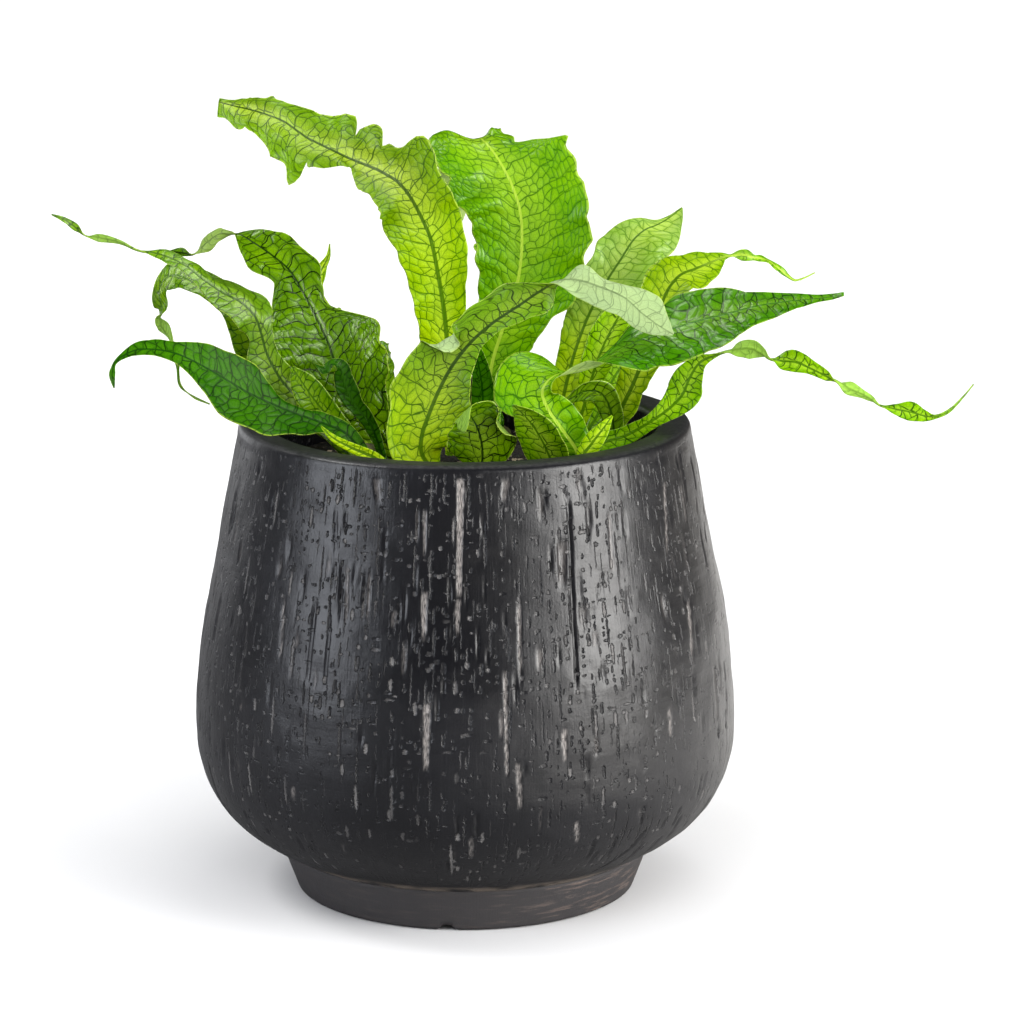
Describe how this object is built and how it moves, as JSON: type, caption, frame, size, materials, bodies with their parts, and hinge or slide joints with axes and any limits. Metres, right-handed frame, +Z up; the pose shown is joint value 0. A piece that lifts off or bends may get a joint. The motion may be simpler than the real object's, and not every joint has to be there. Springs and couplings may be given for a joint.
{
  "type": "potted crocodile fern",
  "caption": "Crocodile fern with long, wavy, net-veined fronds, planted in a round-bellied dark glazed pot with a low foot and a wide open rim.",
  "frame": {"origin": "the point where the planter's vertical axis meets the surface that it stands on", "axes": "+Z up along the planter's axis, +X towards the longest trailing frond, and the side that the picture shows faces -Y"},
  "size_m": [0.4556, 0.3467, 0.4181],
  "materials": {
    "planter_glaze": "satin near-black glaze over a scratched, pitted body",
    "soil": "matt potting soil",
    "rhizome": "matt, scaly",
    "frond_green": "semi-gloss leaf with a dark vein net",
    "frond_yellow_green": "semi-gloss leaf with a dark vein net",
    "frond_olive": "glossy leaf with a dark vein net"
  },
  "bodies": {
    "root": {"planter": "planter_glaze", "soil": "soil", "rhizome_left": "rhizome", "rhizome_middle": "rhizome", "rhizome_right": "rhizome", "frond_tall_left": "frond_yellow_green", "frond_tall_middle": "frond_green", "frond_front_twisted": "frond_green", "frond_left_broad": "frond_olive", "frond_left_folded": "frond_green", "frond_left_drooping": "frond_olive", "frond_left_curled": "frond_green", "frond_behind_left": "frond_yellow_green", "frond_left_inner": "frond_olive", "frond_left_crinkled": "frond_green", "frond_rim_left": "frond_yellow_green", "frond_middle_dark": "frond_olive", "frond_front_rolled": "frond_green", "frond_front_light": "frond_green", "frond_right_sweeping": "frond_green", "frond_right_upright": "frond_green", "frond_right_curly": "frond_yellow_green", "frond_right_middle": "frond_green", "frond_right_ribbon": "frond_green", "frond_right_arched": "frond_green", "frond_right_tip": "frond_yellow_green", "frond_back_tall": "frond_green", "frond_back_left": "frond_green", "frond_back_right": "frond_green", "frond_back_middle": "frond_green", "frond_back_low_left": "frond_green", "frond_back_low_right": "frond_green", "frond_young_left": "frond_green", "frond_young_right": "frond_green"}
  },
  "joints": []
}
